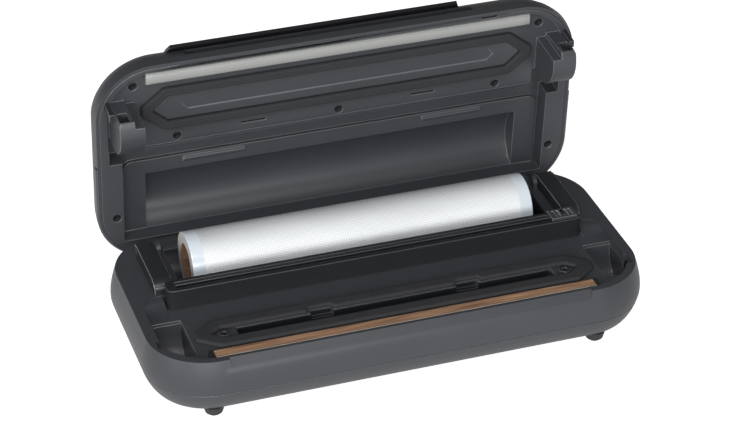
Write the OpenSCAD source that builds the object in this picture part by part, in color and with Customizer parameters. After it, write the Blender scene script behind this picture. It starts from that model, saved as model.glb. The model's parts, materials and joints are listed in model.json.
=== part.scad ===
// Countertop vacuum sealer with roll storage, bag cutter and hinged lid.
// Millimetres, +Z up, -Y towards the user. The origin is the middle of the
// base's flat underside; the feet reach below it. The lid stands open.

/* [Base] */
// Depth of the sealing area, from the front rim to the cutter bar
front_d = 81.2; // [78:0.1:90]
// Depth of the rear deck, from the roll to the rear rim
rear_d = 20.4; // [19:0.1:26]
// Plan radius of the base's corners at the rim
corner_r = 46; // [42:1:50]
// Height of the rim above the underside
rim_h = 46.6; // [45:0.2:50]
// How far the side wall swells out below the rim
bulge = 4.6; // [3:0.2:6]
// Height of the widest line of the wall
bulge_h = 23.8; // [22:0.2:26]
// How far the flat underside stands in from the rim outline
under_inset = 7.8; // [6:0.2:10]
// Height of the joint between the bottom cover and the housing
part_h = 19.3; // [17:0.1:20]
// Wall thickness of the housings
wall = 2.6; // [2.2:0.1:3]
// Width of the raised border round the working area
border_w = 8.5; // [7:0.5:10]
// Depth of the working area below the rim
recess_d = 4.4; // [4:0.1:5]
// Straight front edge left at each end of the sloping thumb recess
thumb_end = 6; // [2:1:20]
// Height of the thumb recess
thumb_h = 7.2; // [5:0.1:9]

/* [Feet] */
// How far the feet stand in from the left and right of the rim
foot_in_x = 41.9; // [38:0.1:50]
// How far the feet stand in from the front and rear of the rim
foot_in_y = 13.8; // [13:0.1:20]
// Height of a foot below the underside
foot_h = 8; // [6:0.5:10]
// Radius of a foot where it meets the cover
foot_r = 8; // [6:0.5:9]

/* [Sealing] */
// How far the heated sealing strip reaches past each end of the bag roll
seal_over = 11.3; // [5:0.1:12]
// Width of the heated sealing strip
seal_w = 9.7; // [8:0.1:10]
// Gap between the foam ring's tips and the latch pockets
ring_gap = 3.5; // [2:0.5:8]
// Depth of the foam ring from front to back
ring_d = 35; // [33:0.5:36]
// Width of the foam band
ring_band = 11; // [9:0.5:12]
// Width of the lid's narrower foam band
upper_band = 7.5; // [6:0.5:9]
// How much deeper the lid's foam ring is than the lower one
upper_more = 3; // [0:0.5:4]
// How far the lid's foam ring lies behind the lower one
upper_back = 4.5; // [0:0.5:5]
// Height of the lower foam ring
ring_t = 3.2; // [2.6:0.1:3.6]
// Floor left between the foam ring's tip and the trough's end
trough_end = 32.5; // [30:0.5:45]
// Depth of the drip trough below the rim
trough_deep = 16; // [12:0.5:18]

/* [Bag roll] */
// Width of the bag film roll
roll_l = 280; // [220:1:284]
// Gap between the roll and each end of its bay
roll_gap = 12; // [6:0.5:14]
// Outer radius of the film roll
roll_r = 24.5; // [20:0.5:25]
// Outer radius of the cardboard core
core_r = 15.5; // [14:0.5:17]
// Wall of the cardboard core
core_t = 1.9; // [1.2:0.1:2.5]

/* [Cutter] */
// Depth of the cutter bar from front to back
bar_d = 16; // [14:0.5:18]
// Gap between the cutter bar and the roll
bar_gap = 15.4; // [14:0.1:20]
// Height of the cutter bar's top above the rim
bar_top = 12.7; // [11:0.1:13]
// Width of a cutter arm
arm_w = 14.5; // [12:0.5:16]
// Gap between a cutter arm and the raised border
arm_side = 12.5; // [11:0.5:16]
// Height of a cutter arm above the rim
arm_h = 10.2; // [9:0.1:11]
// Width of the sliding cutter's grip
grip_w = 21; // [18:0.5:26]

/* [Lid] */
// Angle that the open lid stands at, from closed
lid_open = 84.7; // [75:0.1:95]
// Height of the lid above its own rim
lid_h = 45.6; // [44:0.2:50]
// How far the lid's sides draw in from the rim to the top
lid_in = 20.5; // [16:0.5:24]
// How far the lid's front draws in from the rim to the top
lid_front_in = 38.3; // [34:0.1:40]
// Wall thickness of the lid
lid_wall = 2.4; // [2:0.1:2.8]
// Depth of the hollow over the cutter, from the lid's rim
hollow_d = 16.1; // [15.6:0.1:17]
// Depth of the raised plate behind the cutter, from the lid's rim
plateau_d = 13; // [12:0.1:14]
// Gap between the roll and the rounded hollow over it
cavity_gap = 5.5; // [4:0.1:6]
// Plan radius of the lid's front corners at its top
lid_corner_r = 50; // [46:1:54]
// Slope of the control panel, from horizontal
panel_tilt = 34; // [30:1:36]
// Length of the control panel from left to right
panel_l = 239; // [200:1:240]
// Number of keys on the control panel
key_count = 4; // [4:1:4]

/* [Fits] */
// Gap between the closed lid's rim and the base's rim
lid_gap = 0.4; // [0.3:0.1:0.6]
// Gap between parts that move past each other
move_gap = 0.3; // [0.3:0.05:0.5]
// Radial clearance of a pin in its running bore
pin_gap = 0.06; // [0.02:0.01:0.1]

/* [Hidden] */
$fn = 96;
EPS = 0.5;           // overshoot of a cut past a face
ear_wall = 3.8;      // between the roll bay's end and the cutter's pivot ear
ear_t = 3.4;
ear_gap = 0.8;
side_x = roll_l / 2 + roll_gap + ear_wall + ear_t + ear_gap + arm_w + arm_side;
half_w = side_x + border_w;
base_w = 2 * half_w;
base_d = front_d + bar_d + bar_gap + 2 * roll_r + rear_d;
front_y = -base_d / 2;
rear_y = base_d / 2;
foot_span_x = base_w - 2 * foot_in_x;
foot_span_y = base_d - 2 * foot_in_y;
thumb_l = base_w - 2 * (corner_r + thumb_end);
front_border = 5.8;  // border at the front, in front of the sealing strip
floor_z = rim_h - recess_d;
deck_t = wall;
groove_h = 0.8;
groove_d = 0.9;

// Sealing strip and its carrier
seal_y = front_y + 13.15;
seal_t = 0.3;
carrier_gap = 0.4;
seal_l = roll_l + 2 * seal_over;
carrier_l = seal_l + 8.6;
carrier_w = seal_w + 2.8;
carrier_sink = 1.4;
seal_top = rim_h - 2.1;
wire_w = 3;
wire_t = 0.3;

// Latch pockets and the lid's drums that drop into them
pocket_w = 23.5;
pocket_x1 = side_x;
pocket_x0 = pocket_x1 - pocket_w;
pocket_r = 26;
pocket_y0 = front_y + 20.5;
pocket_y1 = front_y + 67.3;
pocket_y = pocket_y1 - pocket_r;
pocket_z = rim_h - 9.4;
cup_t = 2;
drum_r = pocket_r - 1.7;
drum_x0 = pocket_x0 + 1.5;
drum_x1 = pocket_x1 - 2.5;
drum_front = pocket_y0 + 10.5;
drum_mid = drum_x0 + 7.8;   // the drum's front steps back between here and its inner end
drum_slope = 2.5;
hook_x0 = drum_x1;
hook_x1 = hook_x0 + 4.2;
hook_y0 = drum_front - 2;
hook_y1 = hook_y0 + 5.5;
hook_low = rim_h - 17;

// Foam rings and trough
ring_l = 2 * (pocket_x0 - ring_gap);
ring_y = front_y + 39;
ring_z1 = floor_z + ring_t;
trough_l = ring_l - 2 * trough_end;
trough_w = ring_d - 2 * ring_band;
tray_t = 1.2;
notch_x0 = 48.7;
notch_x1 = 68.3;
notch_d = 4;
port_x = trough_l / 2 + 9.5;
port_r = 3;

// Cutter arms, bar and pivots
arm_x1 = side_x - arm_side;
arm_x0 = arm_x1 - arm_w;
bar_y0 = front_y + front_d;
recess_rear = bar_y0 + bar_d + 0.8;
bar_x = arm_x0 + 8.5;
bar_z0 = floor_z + 0.4;
bar_z1 = rim_h + bar_top;
arm_z0 = rim_h + move_gap;
arm_z1 = rim_h + arm_h;
arm_front = recess_rear + 1;
ear_x1 = arm_x0 - ear_gap;
ear_x0 = ear_x1 - ear_t;
pivot_y = rear_y - 25;
pivot_z = rim_h + 4.6;
pivot_r = 2;
slot_w = 3;
grip_rest_x = bar_x - 14;

// Roll bay
roll_y = rear_y - rear_d - roll_r;
roll_z = rim_h - 0.5;
bay_r = roll_r + 2.5;
bay_z = roll_z + bay_r - roll_r - move_gap - 0.05;
bay_x = roll_l / 2 + roll_gap;
bay_t = 2.4;
ramp_y0 = bar_y0 - 3.2;
ramp_y1 = ramp_y0 + 11.3;
ramp_low = 0.8;      // ramp's top below the rim

// Lid hinge
hinge_y = rear_y - 8.8;
hinge_z = rim_h - 15.9;
hinge_r = 2.5;
barrel_r = 5.5;
leg_x0 = arm_x0 - 0.5;
leg_x1 = leg_x0 + 9.2;
well_gap = 0.3;
well_x0 = leg_x0 - 3.3;
well_x1 = leg_x1 + 3.5;
well_y = rear_y - 19;
well_z = hinge_z - 7.2;

// Cover screws
screw_x = side_x - 8;
screw_y0 = front_y + 88;
screw_y1 = rear_y - 45;
screw_r = 1.5;
screw_head_r = 3.2;

// Lid
lid_z = rim_h + lid_gap;
lid_top = lid_z + lid_h;
lid_edge = 1.5;      // height and swell of the lid's rounded edge
lid_front_step = 1.9;
panel_edge = 0.2;    // gap between the lid's shell and its inner panel
sheet_t = 2.5;
plate_z = lid_z + sheet_t;
plate_top = plate_z + sheet_t;
hollow_x = arm_x1 + 1.5;
hollow_y0 = bar_y0 - 4.2;
hollow_y1 = rear_y - 18.5;
hollow_z = lid_z + hollow_d;
hollow_r = roll_r + cavity_gap;
cavity_x = roll_l / 2 + 15;
plateau_x = hollow_x - 3;
plateau_y = bar_y0 + bar_d + 0.4;
plateau_z = lid_z + plateau_d;
side_hollow_x0 = pocket_x0 - 1;
side_hollow_x1 = side_x - 1;
side_hollow_y0 = pocket_y1 - 3.3;
side_hollow_y1 = hollow_y0 + 11;
strip_l = carrier_l + 0.4;
strip_w = seal_w + 0.1;
strip_r = 3;
raised_bar_r = 2.2;
raised_bar_x0 = 74;
raised_bar_x1 = 124;
slot_pitch = 122;
upper_y = ring_y + upper_back;
upper_l = ring_l - 2.6 * upper_band;   // opening of the lid's foam ring
upper_w = ring_d + upper_more - 2 * upper_band;
island_gap = 1.2;
island_t = 1.2;
lid_screw_head_z = plate_z + 5.8;
lid_screws = [
    [-(side_x - 21.6), front_y + 20], [side_x - 21.6, front_y + 20],
    [-(side_x - 55.7), hollow_y0 - 5.2], [side_x - 55.7, hollow_y0 - 5.2], [0, hollow_y0 - 5.2],
    [-(side_x - 5.5), rear_y - 42.2], [side_x - 5.5, rear_y - 42.2]];

// Control panel, measured along its slope (u) and square to it (n)
panel_x0 = 61.5 - half_w;
panel_y = front_y + 5;
panel_z = lid_z + 21.5;
panel_u0 = -3.5;
panel_u1 = 38;
panel_t = 3;
panel_floor = 2.4;
key_u = 17;
key_w = 21;
key_d = 11;
key_pitch = 36;
key_x0 = panel_x0 + 30;
key_gap = 0.3;
key_proud = 0.8;
key_low = 8;
board_n = -12;
board_t = 1.6;
board_l = key_pitch * (key_count - 1) + key_w + 30;
window_x = panel_x0 + panel_l - 53;
window_w = 40;
lip_gap_x0 = panel_x0 + 12;
lip_gap_x1 = panel_x0 + panel_l + 7;
lip_gap_z0 = lid_z + 9.6;
lip_gap_d = 11;

// ---------- shared shapes ----------

// Rectangle with round corners, its low corner at [x0, y0]
module round_rect(x0, y0, x1, y1, r) {
    translate([x0 + r, y0]) square([x1 - x0 - 2 * r, y1 - y0]);
    translate([x0, y0 + r]) square([x1 - x0, y1 - y0 - 2 * r]);
    for (x = [x0 + r, x1 - r], y = [y0 + r, y1 - r]) translate([x, y]) circle(r);
}

// Box between two x, y and z limits
module span(x, y, z) translate([x[0], y[0], z[0]]) cube([x[1] - x[0], y[1] - y[0], z[1] - z[0]]);

// Cylinder along x between two x limits, round a y, z axis
module rod(x, y, z, r) translate([x[0], y, z]) rotate([0, 90, 0]) cylinder(h = x[1] - x[0], r = r);

// Outline in y and z, drawn out along x
module along_x(x) translate([x[0], 0, 0]) rotate([90, 0, 90]) linear_extrude(x[1] - x[0]) children();

// The same shape on the left and on the right
module both_sides() {
    children();
    mirror([1, 0, 0]) children();
}

// Solid with a rounded rectangular plan whose edge follows [inset, height] points, low to high
module bowl(profile) {
    n = len(profile);
    low = profile[0][1];
    high = profile[n - 1][1];
    function edge(half) = concat([for (p = profile) [half - p[0], p[1]]],
        [for (i = [n - 1:-1:0]) [p_in(half, i), profile[i][1]]]);
    function p_in(half, i) = -(half - profile[i][0]);
    rotate([90, 0, 0]) linear_extrude(base_d - 2 * corner_r, center = true) polygon(edge(half_w));
    rotate([90, 0, 90]) linear_extrude(base_w - 2 * corner_r, center = true) polygon(edge(rear_y));
    for (i = [0:3]) translate([(i == 0 || i == 3 ? 1 : -1) * (half_w - corner_r),
            (i < 2 ? 1 : -1) * (rear_y - corner_r), 0])
        rotate([0, 0, 90 * i]) rotate_extrude(angle = 90)
            polygon(concat([[0, low]], [for (p = profile) [corner_r - p[0], p[1]]], [[0, high]]));
}

// How far the base's wall stands inside the rim outline at height z
function base_inset(z) = z >= bulge_h
    ? -bulge * sin(90 * (rim_h - z) / (rim_h - bulge_h))
    : -bulge + (under_inset + bulge) * (1 - pow(1 - pow((bulge_h - z) / bulge_h, 1.5), 2 / 3));
function base_profile(z0, z1, deeper = 0, steps = 7) = [for (i = [0:steps])
    let (z = z0 + (z1 - z0) * (1 - cos(90 * i / steps))) [base_inset(max(0, min(rim_h, z))) + deeper, z]];

// The same for the lid, at height d above its rim
function lid_inset(d) = d <= lid_edge ? -lid_edge * sin(90 * d / lid_edge)
    : -lid_edge + (lid_in + lid_edge) * (1 - sqrt(1 - pow((d - lid_edge) / (lid_h - lid_edge), 2)));
function lid_profile(deeper, top, steps = 9) = concat([[deeper, lid_z]],
    [for (i = [0:steps]) let (d = lid_edge + (top - lid_edge) * sin(90 * i / steps))
        [lid_inset(d) + deeper, lid_z + d]]);
function lid_front(d) = front_y + lid_front_step
    + lid_front_in * (1 - sqrt(1 - pow(min(d, lid_h) / lid_h, 2)));

// Side of the lid's front curve that is kept
module front_curve(deeper, top) along_x([-half_w - 5, half_w + 5]) polygon(concat(
    [[rear_y + 10, lid_z - EPS], [lid_front(0) + deeper, lid_z - EPS]],
    [for (i = [0:10]) let (d = top * sin(9 * i)) [lid_front(d) + deeper, lid_z + d]],
    [[rear_y + 10, lid_z + top]]));

// What is kept round the lid's two front corners, whose radius grows a little with height
module front_corners(deeper, top) {
    steps = 10;
    arc = 16;
    m = arc + 4;
    over = 0.1;
    function tall(i) = top * sin(90 * i / steps);
    function turn_r(d) = corner_r + (lid_corner_r - corner_r) * d / lid_h;
    function cx(d) = half_w - lid_inset(d) - turn_r(d);
    function cy(d) = lid_front(d) + turn_r(d);
    x0 = cx(lid_h) - 1;
    y1 = cy(lid_h) + 1;
    function slice(d, z) = let (r = turn_r(d) - deeper + over) concat(
        [[x0, y1, z], [x0, cy(d) - r, z]],
        [for (j = [0:arc]) [cx(d) + r * sin(90 * j / arc), cy(d) - r * cos(90 * j / arc), z]],
        [[cx(d) + r, y1, z]]);
    points = [for (i = [-1:steps]) each slice(tall(max(0, i)), i < 0 ? lid_z - EPS : lid_z + tall(i))];
    faces = concat([[for (j = [0:m - 1]) j]], [[for (j = [m - 1:-1:0]) (steps + 1) * m + j]],
        [for (i = [0:steps], j = [0:m - 1]) [i * m + j, (i + 1) * m + j, (i + 1) * m + (j + 1) % m]],
        [for (i = [0:steps], j = [0:m - 1]) [i * m + j, (i + 1) * m + (j + 1) % m, i * m + (j + 1) % m]]);
    span([-x0 - EPS, x0 + EPS], [front_y - 10, rear_y + 10], [lid_z - EPS, lid_z + top]);
    span([-half_w - 5, half_w + 5], [y1 - EPS, rear_y + 10], [lid_z - EPS, lid_z + top]);
    both_sides() polyhedron(points, faces, convexity = 4);
}

// Space that the closed lid fills, or its inside with deeper = lid_wall
module lid_solid(deeper = 0) {
    top = lid_h - deeper;
    intersection() {
        bowl(lid_profile(deeper, top));
        front_curve(deeper, top);
        front_corners(deeper, top);
    }
}

// Turns the closed lid's parts up to where the open lid stands
module opened() translate([0, hinge_y, hinge_z]) rotate([-lid_open, 0, 0])
    translate([0, -hinge_y, -hinge_z]) children();

// Places parts in the control panel's own slope: x, then u up the slope, then n out of it
module on_panel() translate([0, panel_y, panel_z]) rotate([panel_tilt, 0, 0]) children();

// Long hexagon with pointed ends cut short
module ring_outline(l, d, tip, slant) polygon([[-l / 2, -tip], [-l / 2 + slant, -d / 2],
    [l / 2 - slant, -d / 2], [l / 2, -tip], [l / 2, tip], [l / 2 - slant, d / 2],
    [-l / 2 + slant, d / 2], [-l / 2, tip]]);

// ---------- base ----------

module working_area() intersection() {
    round_rect(-side_x, front_y + front_border, side_x, rear_y - 6, corner_r - border_w);
    round_rect(-side_x, front_y - 60, side_x, recess_rear, 14);
}

// Space of the right latch pocket, grown outwards
module pocket(grow, top) intersection() {
    union() {
        rod([pocket_x0 - grow, pocket_x1 + grow], pocket_y, pocket_z, pocket_r + grow);
        span([pocket_x0 - grow, pocket_x1 + grow], [pocket_y0 - grow, pocket_y1 + grow], [pocket_z, top]);
    }
    span([pocket_x0 - grow, pocket_x1 + grow], [pocket_y0 - grow, pocket_y1 + grow], [0, top]);
}

// Slot in the rim that the right latch hook drops through
module hook_slot() intersection() {
    span([pocket_x1 - 3, hook_x1 + 1], [hook_y0 - 1.6, hook_y1 + 6.5], [hook_low - 3, rim_h + EPS]);
    bowl([[2, hook_low - 4], [2, rim_h + 1]]);
}

module bay(grow, x, top) intersection() {
    union() {
        rod([-x, x], roll_y, bay_z, bay_r + grow);
        span([-x, x], [roll_y - bay_r - grow, roll_y + bay_r + grow], [bay_z, bay_z + 20]);
    }
    span([-x - 1, x + 1], [0, rear_y], [0, top]);
}

module screw_places(y) both_sides() translate([screw_x, y, 0]) children();

module thumb_recess() {
    top_y = front_y + 2.8;
    low_y = front_y - bulge * sin(90 * thumb_h / (rim_h - bulge_h)) - 0.2;
    slope = atan2(thumb_h, top_y - low_y);
    length = norm([thumb_h, top_y - low_y]);
    translate([0, top_y, rim_h]) rotate([slope, 0, 0]) linear_extrude(12)
        round_rect(-thumb_l / 2, -length, thumb_l / 2, 14, 5);
}

module base_blocks() {
    span([-half_w, half_w], [front_y - 6, recess_rear + wall], [floor_z - deck_t, rim_h - EPS]);
    both_sides() span([well_x0, well_x1], [well_y - 2.5, rear_y + 8], [well_z - 2.5, rim_h - EPS]);
    screw_places(screw_y1) translate([0, 0, part_h]) cylinder(h = rim_h - part_h - 2, r = 4.5);
}

module base_voids() {
    translate([0, 0, floor_z - deck_t - 1]) linear_extrude(rim_h) working_area();
    bay(0, bay_x, rim_h + 20);
    both_sides() hook_slot();
    thumb_recess();
    screw_places(screw_y1) translate([0, 0, part_h - 1]) cylinder(h = 15, r = screw_r);
    // hinge wells, open to the rear
    both_sides() {
        span([leg_x0 - well_gap, leg_x1 + well_gap], [well_y, rear_y + 12], [well_z, rim_h + EPS]);
        rod([well_x0 - 1, well_x1 + 1], hinge_y, hinge_z, hinge_r + 0.02);
    }
    // rear edge rounded so that the lid's rim turns past it
    difference() {
        span([-half_w - 9, half_w + 9], [hinge_y, rear_y + 12], [hinge_z, rim_h + EPS]);
        rod([-half_w - 10, half_w + 10], hinge_y, hinge_z, rim_h - hinge_z - 0.05);
    }
}

module cutter_ear() difference() {
    union() {
        rod([ear_x0, ear_x1], pivot_y, pivot_z, 5);
        span([ear_x0, ear_x1], [pivot_y - 5, pivot_y + 5], [rim_h - 3, pivot_z]);
    }
    rod([ear_x0 - 1, ear_x1 + 1], pivot_y, pivot_z, pivot_r + 0.02);
}

module base_housing() color("#4a4b4e") {
    difference() {
        union() {
            difference() {
                bowl(base_profile(part_h, rim_h));
                bowl(base_profile(part_h - 1, rim_h - deck_t, wall));
            }
            intersection() {
                bowl(base_profile(part_h - 3, rim_h, wall / 2));
                base_blocks();
            }
        }
        base_voids();
    }
    both_sides() cutter_ear();
}

// Plan of the drip trough, or of the tray's inside with inset = tray_t
module trough_plan(inset) {
    y1 = ring_y + trough_w / 2 - inset;
    translate([-trough_l / 2 + inset, ring_y - trough_w / 2 + inset])
        square([trough_l - 2 * inset, trough_w - 2 * inset]);
    notch_plan(inset);
}

module notch_plan(inset) for (s = [-1, 1]) translate([s * (notch_x0 + notch_x1) / 2, ring_y])
    translate([inset - (notch_x1 - notch_x0) / 2, 0])
        square([notch_x1 - notch_x0 - 2 * inset, trough_w / 2 + notch_d - inset]);

// Recessed floor of the working area, with a ramp at each end behind the latch pockets
module working_deck() color("#4a4b4e") difference() {
    union() {
        translate([0, 0, floor_z - deck_t]) linear_extrude(deck_t) working_area();
        intersection() {
            translate([0, 0, floor_z - EPS]) linear_extrude(recess_d) working_area();
            both_sides() along_x([bar_x + 1.5, half_w]) polygon([[ramp_y0, floor_z - 1],
                [ramp_y0, floor_z], [ramp_y1, rim_h - ramp_low], [recess_rear + 1, rim_h - ramp_low],
                [recess_rear + 1, floor_z - 1]]);
        }
        screw_places(screw_y0) translate([0, 0, part_h]) cylinder(h = floor_z - part_h - 1, r = 4.5);
        both_sides() translate([port_x, ring_y, floor_z - 7]) cylinder(h = 6, r = port_r + 2);
    }
    both_sides() {
        pocket(0, rim_h + EPS);
        span([pocket_x1 - 1, half_w], [pocket_y0, pocket_y1], [floor_z - deck_t - 1, rim_h]);
        translate([port_x, ring_y, floor_z - 8]) cylinder(h = 10, r = port_r);
    }
    translate([0, 0, floor_z - deck_t - 1]) linear_extrude(deck_t + 2) trough_plan(0);
    // seat of the sealing strip's carrier
    span([-carrier_l / 2 - carrier_gap, carrier_l / 2 + carrier_gap],
        [seal_y - carrier_w / 2 - carrier_gap, seal_y + carrier_w / 2 + carrier_gap],
        [floor_z - carrier_sink, rim_h]);
    screw_places(screw_y0) translate([0, 0, part_h - 1]) cylinder(h = 15, r = screw_r);
}

module latch_cup() {
    top = floor_z - deck_t;
    difference() {
        intersection() {
            pocket(cup_t, top);
            bowl([[wall + 4.5, 2], [wall + 0.6, bulge_h - 8], [wall + 0.6, top]]);
        }
        intersection() {
            pocket(0, top + EPS);
            linear_extrude(rim_h) offset(delta = -0.01) working_area();
        }
        hook_slot();
    }
}

module latch_cup_left() color("#4a4b4e") mirror([1, 0, 0]) latch_cup();
module latch_cup_right() color("#4a4b4e") latch_cup();

module roll_cradle() color("#161618") difference() {
    bay(bay_t, bay_x + bay_t, rim_h - deck_t);
    bay(0, bay_x, rim_h);
}

module vent_slots() for (i = [-5:5]) translate([i * 9, 0, -EPS])
    linear_extrude(wall + 1) round_rect(-1.5, 40, 1.5, 62, 1.4);

module bottom_cover() color("#434447") difference() {
    union() {
        difference() {
            bowl(base_profile(0, part_h));
            bowl(base_profile(wall, part_h + 1, wall));
        }
        intersection() {
            bowl(base_profile(0, part_h, 1));
            for (y = [screw_y0, screw_y1]) screw_places(y)
                translate([0, 0, 1]) cylinder(h = part_h, r = 5.5);
        }
        for (p = board_posts) translate([p[0], p[1], 1]) cylinder(h = board_z - 1, r = 3);
        inlet_frame();
    }
    // groove along the joint with the housing
    difference() {
        bowl([[-bulge - 2, part_h - groove_h], [-bulge - 2, part_h + 1]]);
        bowl([[base_inset(part_h) + groove_d, part_h - 2], [base_inset(part_h) + groove_d, part_h + 2]]);
    }
    for (y = [screw_y0, screw_y1]) screw_places(y) translate([0, 0, -EPS]) {
        cylinder(h = 12 + EPS, r = screw_head_r + 0.2);
        cylinder(h = part_h + 2, r = screw_r + 0.2);
    }
    foot_places() translate([0, 0, -EPS]) cylinder(h = 1.5 + EPS, r = foot_r - 1);
    vent_slots();
    span([inlet_x - inlet_w / 2, inlet_x + inlet_w / 2], [inlet_y, rear_y + 10],
        [inlet_z - inlet_h / 2, inlet_z + inlet_h / 2]);
}

module foot_places() for (x = [-1, 1], y = [-1, 1]) translate([x * foot_span_x / 2, y * foot_span_y / 2, 0])
    children();

module feet() color("#26272a") foot_places() rotate_extrude()
    polygon([[0, -foot_h], [foot_r - 3.2, -foot_h], [foot_r - 1.2, -foot_h + 1.8], [foot_r, -1.6],
        [foot_r, 0], [foot_r - 1, 0], [foot_r - 1, 1.5], [0, 1.5]]);

module screw(low, head_h, length, head_r) translate([0, 0, low]) {
    difference() {
        cylinder(h = head_h, r = head_r);
        for (a = [0, 90]) rotate([0, 0, a]) translate([-1.9, -0.45, -EPS]) cube([3.8, 0.9, 1.2 + EPS]);
    }
    translate([0, 0, head_h]) cylinder(h = length, r = screw_r);
}

module cover_screws() color("silver") for (y = [screw_y0, screw_y1])
    screw_places(y) screw(9.8, 2.2, 16, screw_head_r);

module seal_carrier() color("#1d1e20") difference() {
    span([-carrier_l / 2, carrier_l / 2], [seal_y - carrier_w / 2, seal_y + carrier_w / 2],
        [floor_z - carrier_sink, seal_top - seal_t]);
    span([-seal_l / 2, seal_l / 2], [seal_y - wire_w / 2, seal_y + wire_w / 2],
        [seal_top - seal_t - wire_t, seal_top]);
}

module heating_wire() color("silver") span([-seal_l / 2, seal_l / 2],
    [seal_y - wire_w / 2, seal_y + wire_w / 2], [seal_top - seal_t - wire_t, seal_top - seal_t]);

module seal_tape() color("#8a6243") span([-seal_l / 2, seal_l / 2],
    [seal_y - seal_w / 2, seal_y + seal_w / 2], [seal_top - seal_t, seal_top]);

module ring_2d(d, band) difference() {
    ring_outline(ring_l, d, 4, d / 2 - 0.5);
    ring_outline(ring_l - 2.6 * band, d - 2 * band, 1, d / 2 - band + 0.5);
}

module lower_gasket() color("#3f4043") translate([0, ring_y, floor_z]) linear_extrude(ring_t) difference() {
    ring_2d(ring_d, ring_band);
    translate([0, -ring_y]) notch_plan(0);
}

// Tray that lines the trough, with a shallow finger notch on two places of its rear edge
module drip_tray() color("#161618") {
    low = rim_h - trough_deep;
    notch_low = rim_h - 9;
    top = floor_z - 0.2;
    difference() {
        union() {
            translate([-trough_l / 2, ring_y - trough_w / 2, low]) cube([trough_l, trough_w, top - low]);
            translate([0, 0, notch_low - tray_t]) linear_extrude(top - notch_low + tray_t) notch_plan(0);
        }
        translate([-trough_l / 2 + tray_t, ring_y - trough_w / 2 + tray_t, low + tray_t])
            cube([trough_l - 2 * tray_t, trough_w - 2 * tray_t, rim_h]);
        translate([0, 0, notch_low]) linear_extrude(rim_h) notch_plan(tray_t);
    }
}

module vacuum_ports() color("#2b2c2e") for (s = [-1, 1]) translate([s * port_x, ring_y, 0]) difference() {
    union() {
        translate([0, 0, floor_z]) cylinder(h = 1.6, r = port_r + 1.6);
        translate([0, 0, port_low]) cylinder(h = floor_z - port_low + 0.1, r = port_r - 0.02);
    }
    translate([0, 0, floor_z - 10]) cylinder(h = 13, r = port_r - 1.4);
}

// ---------- inside the base ----------

pump_w = 36;
pump_z = 21;
pump_y = ring_y + trough_w / 2 + notch_d + 4.5 + pump_w / 2;
pump_x1 = -15;
pump_x0 = pump_x1 - 60;
head_l = 8;
motor_r = 15;
motor_l = 46;
hose_r = 3.5;
port_low = floor_z - 9;
hose_bend = port_low - pump_z - 2.2;
board_z = 8;
board_l2 = 48;
board_w2 = 50;
board_x0 = 49.5 - half_w;
board_y0 = pump_y - 21;
board_posts = [for (x = [5, board_l2 - 5], y = [7, board_w2 - 7]) [board_x0 + x, board_y0 + y]];
inlet_x = 75.5 - half_w;
inlet_y = rear_y - 15;
inlet_z = 10.5;
inlet_w = 24;
inlet_h = 13;
core_x0 = pump_x1 + motor_l + 39;
core_w = 42;
core_d = 34;
core_limb = 8;
core_z0 = wall + 6.4;
core_z1 = core_z0 + 18;
coil_gap = 0.3;
switch_r = 6.4;

module tube_section() difference() {
    circle(hose_r);
    circle(hose_r - 1.4);
}

module elbow() rotate_extrude(angle = 90) translate([hose_bend, 0]) tube_section();

module vacuum_hose() color("#d8d8d4") {
    low = port_low;
    x1 = -port_x + hose_bend;
    x2 = pump_x0 - 22;
    z = pump_z;
    translate([-port_x, ring_y, z + hose_bend]) linear_extrude(low - z - hose_bend) tube_section();
    translate([x1, ring_y, z + hose_bend]) rotate([90, 0, 0]) rotate([0, 0, 180]) elbow();
    translate([x1, ring_y, z]) rotate([90, 0, 90]) linear_extrude(x2 - x1) tube_section();
    translate([x2, ring_y + hose_bend, z]) rotate([0, 0, -90]) elbow();
    translate([x2 + hose_bend, ring_y + hose_bend, z]) rotate([-90, 0, 0])
        linear_extrude(pump_y - ring_y - 2 * hose_bend) tube_section();
    translate([x2 + 2 * hose_bend, pump_y - hose_bend, z]) rotate([0, 0, 90]) elbow();
}

module pump_body() color("#d9d9d6") {
    span([pump_x0, pump_x1 - head_l], [pump_y - pump_w / 2, pump_y + pump_w / 2], [pump_z - 14, pump_z + 12]);
    for (y = [-pump_w / 4, pump_w / 4]) translate([pump_x0 + 17, pump_y + y, pump_z + 12])
        cylinder(h = 4, r = 7);
    rod([pump_x0 - 2, pump_x0], pump_y, pump_z, hose_r);
    rod([pump_x1 - head_l, pump_x1], pump_y, pump_z, motor_r + 1);
}

module pump_motor() color("silver") {
    rod([pump_x1, pump_x1 + motor_l], pump_y, pump_z, motor_r);
    rod([pump_x1 + motor_l, pump_x1 + motor_l + 3], pump_y, pump_z, 6);
}

module pump_bracket() color("#707275") difference() {
    span([pump_x0 + 4, pump_x1 + motor_l - 4], [pump_y - pump_w / 2 - 4, pump_y + pump_w / 2 + 4],
        [wall, pump_z - 14]);
    rod([pump_x1 - head_l - 1, pump_x1 + motor_l + 14], pump_y, pump_z, motor_r + 1.2);
    span([pump_x0 + 10, pump_x1 - head_l - 6], [pump_y - pump_w / 2 + 4, pump_y + pump_w / 2 - 4],
        [wall - 1, pump_z - 15.6]);
}

module pressure_switch() color("#2d2e31") translate([port_x, ring_y, 0]) {
    translate([0, 0, port_low - 6.2]) cylinder(h = 6.2, r = switch_r);
    span([-switch_r + 0.4, switch_r - 0.4], [-4, 4], [port_low - 11.2, port_low - 6.2]);
}

module transformer_core() color("#8d8f92") difference() {
    span([core_x0, core_x0 + core_w], [pump_y - core_d / 2, pump_y + core_d / 2], [wall, core_z1 + 7]);
    span([core_x0 + core_limb, core_x0 + core_w - core_limb],
        [pump_y - core_d / 2 - 1, pump_y + core_d / 2 + 1],
        [core_z0, core_z1]);
}

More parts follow.
